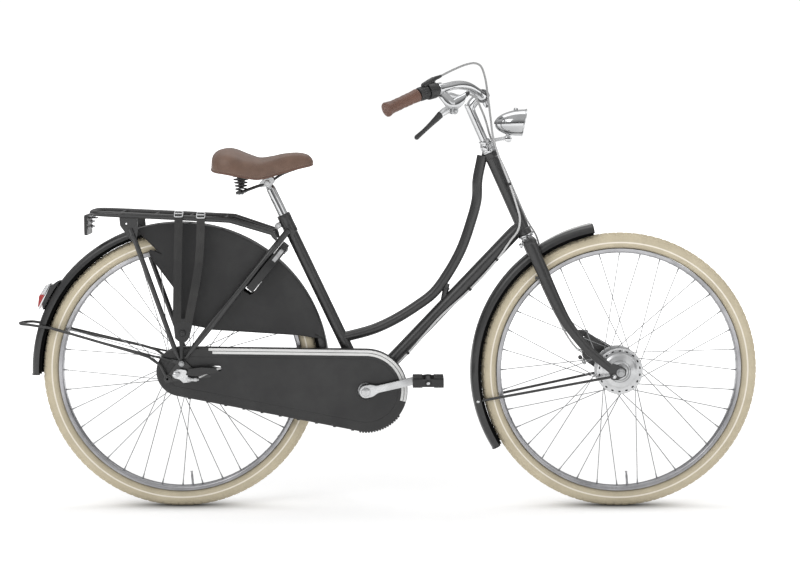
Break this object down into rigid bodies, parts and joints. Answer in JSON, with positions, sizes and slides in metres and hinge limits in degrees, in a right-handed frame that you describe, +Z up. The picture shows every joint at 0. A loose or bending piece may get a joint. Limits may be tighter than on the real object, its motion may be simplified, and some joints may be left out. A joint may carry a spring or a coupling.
{
  "type": "dutch city bike",
  "caption": "Upright roadster bicycle with a swan-neck frame, full chaincase, mudguards, coat guards, rear carrier, lights, ring lock and twist-grip hub gears.",
  "frame": {"origin": "on the ground below the middle of the bike's length, in its middle plane", "axes": "+X points the way the bike rides, +Y to the rider's left, +Z up"},
  "size_m": [1.9166, 0.611, 1.1501],
  "materials": {
    "black_gloss_paint": "deep gloss black enamel, smooth, with a faint orange peel",
    "black_plastic": "satin moulded black plastic",
    "chrome": "bright chrome plate",
    "silver_alloy": "brushed and clear-coated light alloy",
    "zinc_steel": "dull zinc-plated steel, lightly oiled",
    "cream_tyre": "cream rubber with a whitish side band and a blocked tread",
    "brown_leatherette": "brown grained leatherette with stitched seams",
    "black_rubber": "matt black rubber",
    "cable_housing": "light grey cable housing",
    "red_lens": "clear red ribbed lens",
    "clear_lens": "clear ribbed glass"
  },
  "bodies": {
    "frame": {"head_tube": "black_gloss_paint", "down_tube": "black_gloss_paint", "top_tube": "black_gloss_paint", "bottom_bracket_shell": "black_gloss_paint", "seat_tube": "black_gloss_paint", "chain_stays": "black_gloss_paint", "seat_stays": "black_gloss_paint", "seat_clamp_bolt": "zinc_steel", "headset_lower": "chrome", "headset_upper": "chrome", "rear_mudguard": "black_gloss_paint", "rear_guard_stays": "black_gloss_paint", "rear_axle": "zinc_steel", "carrier": "black_gloss_paint", "carrier_straps": "black_rubber", "rear_reflector": "red_lens", "coat_guard_right": "black_plastic", "coat_guard_left": "black_plastic", "ring_lock": "black_plastic", "tail_light_base": "black_plastic", "tail_light_lens": "red_lens", "seat_post": "chrome", "saddle_frame": "zinc_steel", "saddle_spring_right": "zinc_steel", "saddle_spring_left": "zinc_steel", "saddle_top": "brown_leatherette", "chain": "zinc_steel", "chaincase": "black_plastic", "gear_cable_frame": "cable_housing"},
    "steering": {"fork": "black_gloss_paint", "headset_nut": "chrome", "stem": "silver_alloy", "handlebar": "chrome", "grip_right": "brown_leatherette", "grip_left": "brown_leatherette", "shifter_body": "black_plastic", "brake_lever_body": "silver_alloy", "headlamp_body": "chrome", "headlamp_lens": "clear_lens", "front_mudguard": "black_gloss_paint", "front_guard_stays": "black_gloss_paint", "front_axle_brake_plate": "black_gloss_paint", "brake_cable": "cable_housing", "gear_cable_front": "cable_housing"},
    "front_wheel": {"front_tyre": "cream_tyre", "front_rim": "silver_alloy", "front_hub_spokes": "silver_alloy"},
    "rear_wheel": {"rear_tyre": "cream_tyre", "rear_rim": "silver_alloy", "rear_hub_spokes": "silver_alloy", "rear_sprocket": "zinc_steel"},
    "crankset": {"crank_spindle": "zinc_steel", "crank_right": "silver_alloy", "crank_left": "silver_alloy", "chainring": "zinc_steel"},
    "right_pedal": {"pedal_right": "black_rubber"},
    "left_pedal": {"pedal_left": "black_rubber"},
    "brake_hand_lever": {"brake_lever": "black_plastic"},
    "gear_twist": {"shifter_twist": "black_plastic"},
    "stand": {"rear_stand": "black_gloss_paint"}
  },
  "joints": [
    {"name": "steering_turn", "type": "hinge", "parent": "frame", "child": "steering", "pos_m": [0.31231, 0, 0.80948], "axis": [-0.4115, 0, 0.9114], "range_deg": [-60, 60]},
    {"name": "front_wheel_turn", "type": "hinge", "parent": "steering", "child": "front_wheel", "pos_m": [0.60032, 0, 0.358], "axis": [0, 1, 0], "continuous": true},
    {"name": "rear_wheel_turn", "type": "hinge", "parent": "frame", "child": "rear_wheel", "pos_m": [-0.53668, 0, 0.358], "axis": [0, 1, 0], "continuous": true},
    {"name": "crank_turn", "type": "hinge", "parent": "frame", "child": "crankset", "pos_m": [-0.05568, 0, 0.311], "axis": [0, 1, 0], "continuous": true},
    {"name": "right_pedal_turn", "type": "hinge", "parent": "crankset", "child": "right_pedal", "pos_m": [0.10321, -0.129, 0.34739], "axis": [0, 1, 0], "continuous": true},
    {"name": "left_pedal_turn", "type": "hinge", "parent": "crankset", "child": "left_pedal", "pos_m": [-0.21457, 0.129, 0.27461], "axis": [0, 1, 0], "continuous": true},
    {"name": "brake_lever_squeeze", "type": "hinge", "parent": "steering", "child": "brake_hand_lever", "pos_m": [0.16332, -0.2005, 1.031], "axis": [-0.5451, 0.8382, 0.014], "range_deg": [0, 22], "stiffness_Nm_per_rad": 1.2, "springref_deg": -20.05},
    {"name": "gear_twist_turn", "type": "hinge", "parent": "steering", "child": "gear_twist", "pos_m": [0.08711, -0.23203, 1.07267], "axis": [0.7825, 0.5645, 0.2627], "range_deg": [0, 70]},
    {"name": "stand_fold", "type": "hinge", "parent": "frame", "child": "stand", "pos_m": [-0.56468, 0, 0.344], "axis": [0, -1, 0], "range_deg": [0, 126]}
  ],
  "couplings": [
    {"joint": "crank_turn", "follows": "rear_wheel_turn", "ratio": 0.5}
  ]
}
